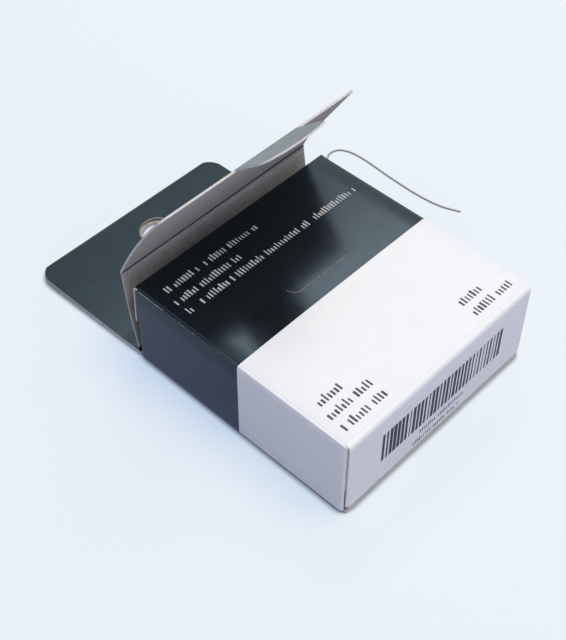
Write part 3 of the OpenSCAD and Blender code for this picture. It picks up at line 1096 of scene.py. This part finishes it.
# A row of small upright strokes on a line, with random widths, heights and gaps
def makeMarkTree():
    sizes = ("Pitch", "Narrow", "Wide", "Height", "Shortest", "Corner", "Proud", "Kept")
    tree, given = newTree("printedRow", [("Count", "Int"), ("Seed", "Int"), *[(s, "Float") for s in sizes]])
    step = addVector(tree, X=given["Pitch"])
    line = geometryNode(tree, "MeshLine", {"Count": given["Count"], "Offset": step})
    size = {"Width": given["Pitch"], "Height": given["Height"]}
    block = geometryNode(tree, "CurvePrimitiveQuadrilateral", size)
    rounding = {"mode": "POLY", "Count": 3, "Curve": block, "Radius": given["Corner"]}
    soft = geometryNode(tree, "FilletCurve", rounding)
    lift = addVector(tree, Y=calculate(tree, "MULTIPLY", given["Height"], 0.5))
    standing = geometryNode(tree, "Transform", {"Geometry": soft, "Translation": lift})
    filled = geometryNode(tree, "FillCurve", {"mode": "NGONS", "Curve": standing})
    depth = {"Individual": False, "Mesh": filled, "Offset Scale": given["Proud"]}
    thick = geometryNode(tree, "ExtrudeMesh", depth)
    chance = {"data_type": "BOOLEAN", "Probability": given["Kept"], "Seed": given["Seed"]}
    keep = addNode(tree, "FunctionNodeRandomValue", chance).outputs[3]
    widths = {"data_type": "FLOAT", 2: given["Narrow"], 3: given["Wide"], "Seed": given["Seed"]}
    width = addNode(tree, "FunctionNodeRandomValue", widths).outputs[1]
    otherSeed = calculate(tree, "ADD", given["Seed"], 50)
    rises = {"data_type": "FLOAT", 2: given["Shortest"], 3: 1.0, "Seed": otherSeed}
    rise = addNode(tree, "FunctionNodeRandomValue", rises).outputs[1]
    scale = addVector(tree, X=width, Y=rise, Z=1.0)
    laid = {"Points": line, "Instance": thick, "Selection": keep, "Scale": scale}
    endTree(tree, geometryNode(tree, "InstanceOnPoints", laid), given["Material"])
    return tree


markTree = makeMarkTree()

# Rows of marks as (start x, end x, foot y, height, pitch, share of marks kept, seed). The widths of
# a shape are shares of the pitch.
printMarks = {
    "shapes": {"Narrow": 0.32, "Wide": 0.58, "Shortest": 0.55, "Corner": 0.05, "Proud": 0.03},
    "darkShapes": {"Narrow": 0.35, "Wide": 0.6, "Corner": 0.06},
    "barShapes": {"Narrow": 0.2, "Wide": 0.86, "Shortest": 1.0, "Corner": 0.02},
    "pale": [
        (-21.4, 1.4, 19.4, 1.55, 0.66, 0.86, 3),
        (-21.5, -6.2, 16.1, 1.55, 0.66, 0.86, 5),
        (-21.4, 21.1, 13.2, 1.55, 0.66, 0.86, 8),
    ],
    "dark": [
        (-21.5, -15.2, -16.3, 1.8, 0.8, 0.9, 2),
        (-21.5, -11.2, -19.3, 1.8, 0.8, 0.9, 4),
        (-21.5, -11.4, -22.4, 1.8, 0.8, 0.9, 6),
        (12.1, 17.1, -19.3, 1.8, 0.8, 1.0, 7),
        (12.0, 22.0, -22.3, 1.8, 0.8, 0.9, 9),
    ],
    "bars": [(-15.2, 16.9, 6.35, 7.1, 0.98, 1.0, 11)],
    "underBars": [(-5.0, 6.9, 4.1, 0.95, 0.55, 0.85, 12), (-6.5, 5.9, 1.8, 0.95, 0.55, 0.85, 13)],
}


def addRow(bm, row, place, values):
    start, end, foot, height, pitch, kept, seed = row
    count = max(1, int((end - start) / pitch + 0.01) + 1)
    ownValues = {"Count": count, "Pitch": pitch, "Height": height, "Kept": kept, "Seed": seed}
    mesh = meshFromTree(markTree, {**values, **ownValues})
    for vert in mesh.vertices:
        x, y, z = vert.co
        vert.co = Vector(place(start + x, foot + y, z)) * mm
    bm.from_mesh(mesh)
    bpy.data.meshes.remove(mesh)


def markPiece(name, rows, place, material, body, slot, shapes=None):
    bm = bmesh.new()
    for row in rows:
        addRow(bm, row, place, {**printMarks["shapes"], **(shapes or {}), "Material": material})
    bmesh.ops.recalc_face_normals(bm, faces=bm.faces[:])
    return finishPiece(addPiece(name, meshFrom(bm, name, [material])), body, slot)


def onFront(x, y, z):
    return x, y, carton["depth"] + frontBulge(x, y) + z


def onBaseFace(x, y, z):
    return x, baseEnd["faceY"] - halfBoard - basePanelShape(x, baseEnd["panelTop"] - y) - z, y


markPiece("paleMarks", printMarks["pale"], onFront, paleMark, "carton", "white_print")
dark, bars = printMarks["darkShapes"], printMarks["barShapes"]
markPiece("darkMarks", printMarks["dark"], onFront, darkMark, "carton", "black_print", dark)
# A made-up run of upright bars with two rows of small marks under it
markPiece("endBars", printMarks["bars"], onBaseFace, barInk, "base", "black_print", bars)
markPiece("endMarks", printMarks["underBars"], onBaseFace, darkMark, "base", "black_print", {"Corner": 0.03})
print("print marks made")


# A body of revolution from (radius, z) points, closed on itself
def turnedBody(name, profile, segments, material):
    bm = bmesh.new()
    rings = []
    for k in range(segments):
        cos, sin = math.cos(2 * math.pi * k / segments), math.sin(2 * math.pi * k / segments)
        rings.append([bm.verts.new(Vector((r * cos, r * sin, z)) * mm) for r, z in profile])
    joinRings(bm, [*rings, rings[0]])
    bmesh.ops.remove_doubles(bm, verts=bm.verts[:], dist=1e-7)
    bmesh.ops.recalc_face_normals(bm, faces=bm.faces[:])
    return addPiece(name, meshFrom(bm, name, [material], 30))


spool = {
    "footRadius": 9.0,
    "footTop": 1.0,
    "postRadius": 5.9,
    "postTop": 17.0,
    "coreInner": 6.0,
    "coreOuter": 7.2,
    "coreLow": 1.3,
    "coreHigh": 16.9,
    "edge": 0.1,  # how far the rims are chamfered
    "segments": 96,
}


def postProfile():
    radius, foot, edge = spool["postRadius"], spool["footRadius"], spool["edge"]
    low, top = spool["footTop"], spool["postTop"]
    return [
        (0.0, boardThick), (foot, boardThick), (foot, low - edge), (foot - edge, low),
        (radius + 2 * edge, low), (radius, low + 2 * edge),
        (radius, top - 2 * edge), (radius - 2 * edge, top), (0.0, top),
    ]


def coreProfile():
    inner, outer, edge = spool["coreInner"], spool["coreOuter"], spool["edge"]
    low, high = spool["coreLow"], spool["coreHigh"]
    return [
        (inner, low + edge), (inner + edge, low), (outer - edge, low), (outer, low + edge),
        (outer, high - edge), (outer - edge, high), (inner + edge, high), (inner, high - edge),
    ]


spoolPost = turnedBody("spoolPost", postProfile(), spool["segments"], kraft)
finishPiece(spoolPost, "carton", "core_paper", "spool_post")
spoolCore = turnedBody("spoolCore", coreProfile(), spool["segments"], kraft)
finishPiece(spoolCore, "spool", "core_paper", "spool_core")


# Turns of floss laid side by side round the winding and over both its ends
def makeWindingTree():
    sizes = ("Inner", "Outer", "Low", "High", "Thread", "Around", "Across")
    tree, given = newTree("woundTurns", [(s, "Float") for s in sizes])
    section = {"Resolution": 6, "Radius": given["Thread"]}
    section = geometryNode(tree, "CurvePrimitiveCircle", section)
    low, high = addVector(tree, Z=given["Low"]), addVector(tree, Z=given["High"])
    height = calculate(tree, "SUBTRACT", given["High"], given["Low"])
    joined = addNode(tree, "GeometryNodeJoinGeometry")

    def addSpiral(rotations, start, rise, lift):
        radii = {"Start Radius": start, "End Radius": given["Outer"]}
        shape = {"Resolution": 48, "Rotations": rotations, **radii, "Height": rise}
        spiral = geometryNode(tree, "CurveSpiral", shape)
        moved = geometryNode(tree, "Transform", {"Geometry": spiral, "Translation": lift})
        tree.links.new(moved, joined.inputs[0])

    addSpiral(given["Around"], given["Outer"], height, low)
    addSpiral(given["Across"], given["Inner"], 0.0, low)
    addSpiral(given["Across"], given["Inner"], 0.0, high)
    swept = {"Fill Caps": True, "Curve": joined.outputs[0], "Profile Curve": section}
    solid = geometryNode(tree, "CurveToMesh", swept)
    smooth = geometryNode(tree, "SetShadeSmooth", {"Geometry": solid})
    endTree(tree, smooth, given["Material"])
    return tree


winding = {
    "inner": 7.2,
    "outer": 18.7,
    "low": 2.7,
    "high": 15.5,
    "thread": 0.24,
    "around": 30.0,  # turns along the height
    "across": 26.0,  # turns over each end
}


# The turns stand a little out of a plain body, so that no gap shows between them
def makeWinding():
    inner, outer, low, high = (winding[key] for key in ("inner", "outer", "low", "high"))
    turns = meshFromTree(makeWindingTree(), {
        "Inner": inner + 0.3, "Outer": outer + 0.05, "Low": low + 0.08, "High": high - 0.08,
        "Thread": winding["thread"], "Around": winding["around"], "Across": winding["across"],
        "Material": flossThread,
    })
    profile = [(inner, low), (outer, low), (outer, high), (inner, high)]
    body = turnedBody("windingBody", profile, 64, flossThread)
    bm = bmesh.new()
    bm.from_mesh(turns)
    for vert in bm.verts:
        vert.co *= mm
    bm.from_mesh(body.data)
    bpy.data.objects.remove(body)
    bmesh.ops.recalc_face_normals(bm, faces=bm.faces[:])
    return addPiece("flossWinding", meshFrom(bm, "flossWinding", [flossThread], 60))


flossWinding = finishPiece(makeWinding(), "spool", "floss", "floss_winding")
print("spool made,", len(flossWinding.data.polygons), "faces in the winding")

# The steel cutter keeps its CAD shape
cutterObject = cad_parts["cutter_blade"]
cutterObject.data.materials.clear()
cutterObject.data.materials.append(steel)

# Floor, light and sky
studio = {
    "floorShaded": "#A8BEE0",  # what is left of the floor's colour where no light falls
    "floorLit": "#B3A77B",  # what the light adds to it
    "floorBounce": "#A9AAB4",  # what it throws back on the carton
    # painted shade: close to the carton the varnish mirrors this darker, bluer floor colour in place of the
    # floor's shadow there
    "floorMirroredShade": "#9DA9CE",  # what the varnish shows of the floor close to the carton
    "mirroredReach": (30, 95),  # mm from the middle, over which that turns to the sky's colour
    "contact": 1.6,  # mm over which the floor darkens towards what stands on it
    "floorSize": 3,
    "floorDrop": 0.05,  # mm under the carton, so that the two faces don't flicker
    "sky": "#E4F1F4",
    "fill": "#A4AABE",
    "fillStrength": 1.07,
}
# Each lamp is (place, size, radiance, colour, turn in degrees). One with no turn looks at the carton.
lamps = {
    "keyLight": ((0.2, -0.3, 1.13), (0.75, 0.75), 4.65, (1.0, 0.93, 0.75), None),
    # The window that the varnish of the front mirrors towards the camera; it looks straight down
    "windowLight": ((0.277, 0.199, 0.4), (0.295, 0.14), 2.6, (1.0, 0.97, 0.95), -5.5),
    "lowLight": ((-0.4, -1.1, 0.12), (0.7, 0.2), 2.0, (0.93, 0.95, 1.0), None),
}
noLight = (0, 0, 0, 1)


# A plain matt table with a dark line of contact under the carton. Its colour differs for the camera,
# for the varnish that mirrors it and for the light that it throws back.
def makeFloorMaterial():
    material, tree, shader, place = newMaterial("mattTable", {"Roughness": 0.9, "Specular IOR Level": 0.0})
    path = addNode(tree, "ShaderNodeLightPath").outputs
    near = addNode(tree, "ShaderNodeAmbientOcclusion", {"samples": 16, "Distance": studio["contact"] * mm})
    openness = remap(tree, near.outputs["AO"], 0.4, 0.85, 0.12, 1)

    # One of three colours, by the kind of ray. The camera sees its own darkened near the carton.
    def byRay(camera, glossy, other):
        seen = mixColours(tree, openness, noLight, linearColour(studio[camera]))
        colour = mixColours(tree, path["Is Camera Ray"], other, seen)
        return mixColours(tree, path["Is Glossy Ray"], colour, glossy)

    colour = byRay("floorLit", noLight, linearColour(studio["floorBounce"]))
    tree.links.new(colour, shader.inputs["Base Color"])
    # painted shade: what the varnish mirrors of the floor is darker near the carton, standing for the floor's
    # shadow
    away = addNode(tree, "ShaderNodeVectorMath", {"operation": "LENGTH", 0: place}).outputs["Value"]
    reach = remap(tree, away, *[c * mm for c in studio["mirroredReach"]], 0, 1)
    mirrored = mixColours(tree, reach, linearColour(studio["floorMirroredShade"]), linearColour(studio["sky"]))
    glowColour = byRay("floorShaded", mirrored, noLight)
    glow = addNode(tree, "ShaderNodeEmission", {"Strength": 1.0, "Color": glowColour}).outputs[0]
    both = addNode(tree, "ShaderNodeAddShader", {0: shader.outputs[0], 1: glow}).outputs[0]
    tree.links.new(both, tree.nodes["Material Output"].inputs["Surface"])
    return material


bm = bmesh.new()
bmesh.ops.create_grid(bm, x_segments=2, y_segments=2, size=studio["floorSize"])
bmesh.ops.translate(bm, verts=bm.verts[:], vec=(0, 0, -studio["floorDrop"] * mm))
floor = addPiece("floor", meshFrom(bm, "floor", [makeFloorMaterial()]))


# The sky is pale where it is seen or mirrored, and gives a duller, bluer fill
def makeSky():
    world = bpy.data.worlds.new("studioSky")
    bpy.context.scene.world = world
    world.use_nodes = True
    tree = world.node_tree
    background = tree.nodes["Background"]
    path = addNode(tree, "ShaderNodeLightPath").outputs
    seen = calculate(tree, "MAXIMUM", path["Is Camera Ray"], path["Is Glossy Ray"])
    seen = calculate(tree, "MAXIMUM", seen, path["Is Transmission Ray"])
    colour = mixColours(tree, seen, linearColour(studio["fill"]), linearColour(studio["sky"]))
    tree.links.new(colour, background.inputs["Color"])
    tree.links.new(remap(tree, seen, 0, 1, studio["fillStrength"], 1), background.inputs["Strength"])


def addLamp(name, place, size, radiance, colour, turn):
    data = bpy.data.lights.new(name, "AREA")
    data.shape = "RECTANGLE"
    data.size, data.size_y = size
    data.energy = radiance * math.pi * size[0] * size[1]
    data.color = colour
    lamp = bpy.data.objects.new(name, data)
    bpy.context.scene.collection.objects.link(lamp)
    lamp.location = place
    lamp.visible_camera = False
    if turn is None:
        lamp.rotation_mode = "QUATERNION"
        lamp.rotation_quaternion = (-Vector(place)).to_track_quat("-Z", "Y")
    else:
        lamp.rotation_euler.z = math.radians(turn)


makeSky()
for name, settings in lamps.items():
    addLamp(name, *settings)

bpy.context.scene.view_settings.view_transform = "Standard"
print("studio made")

bpy.context.view_layer.update()
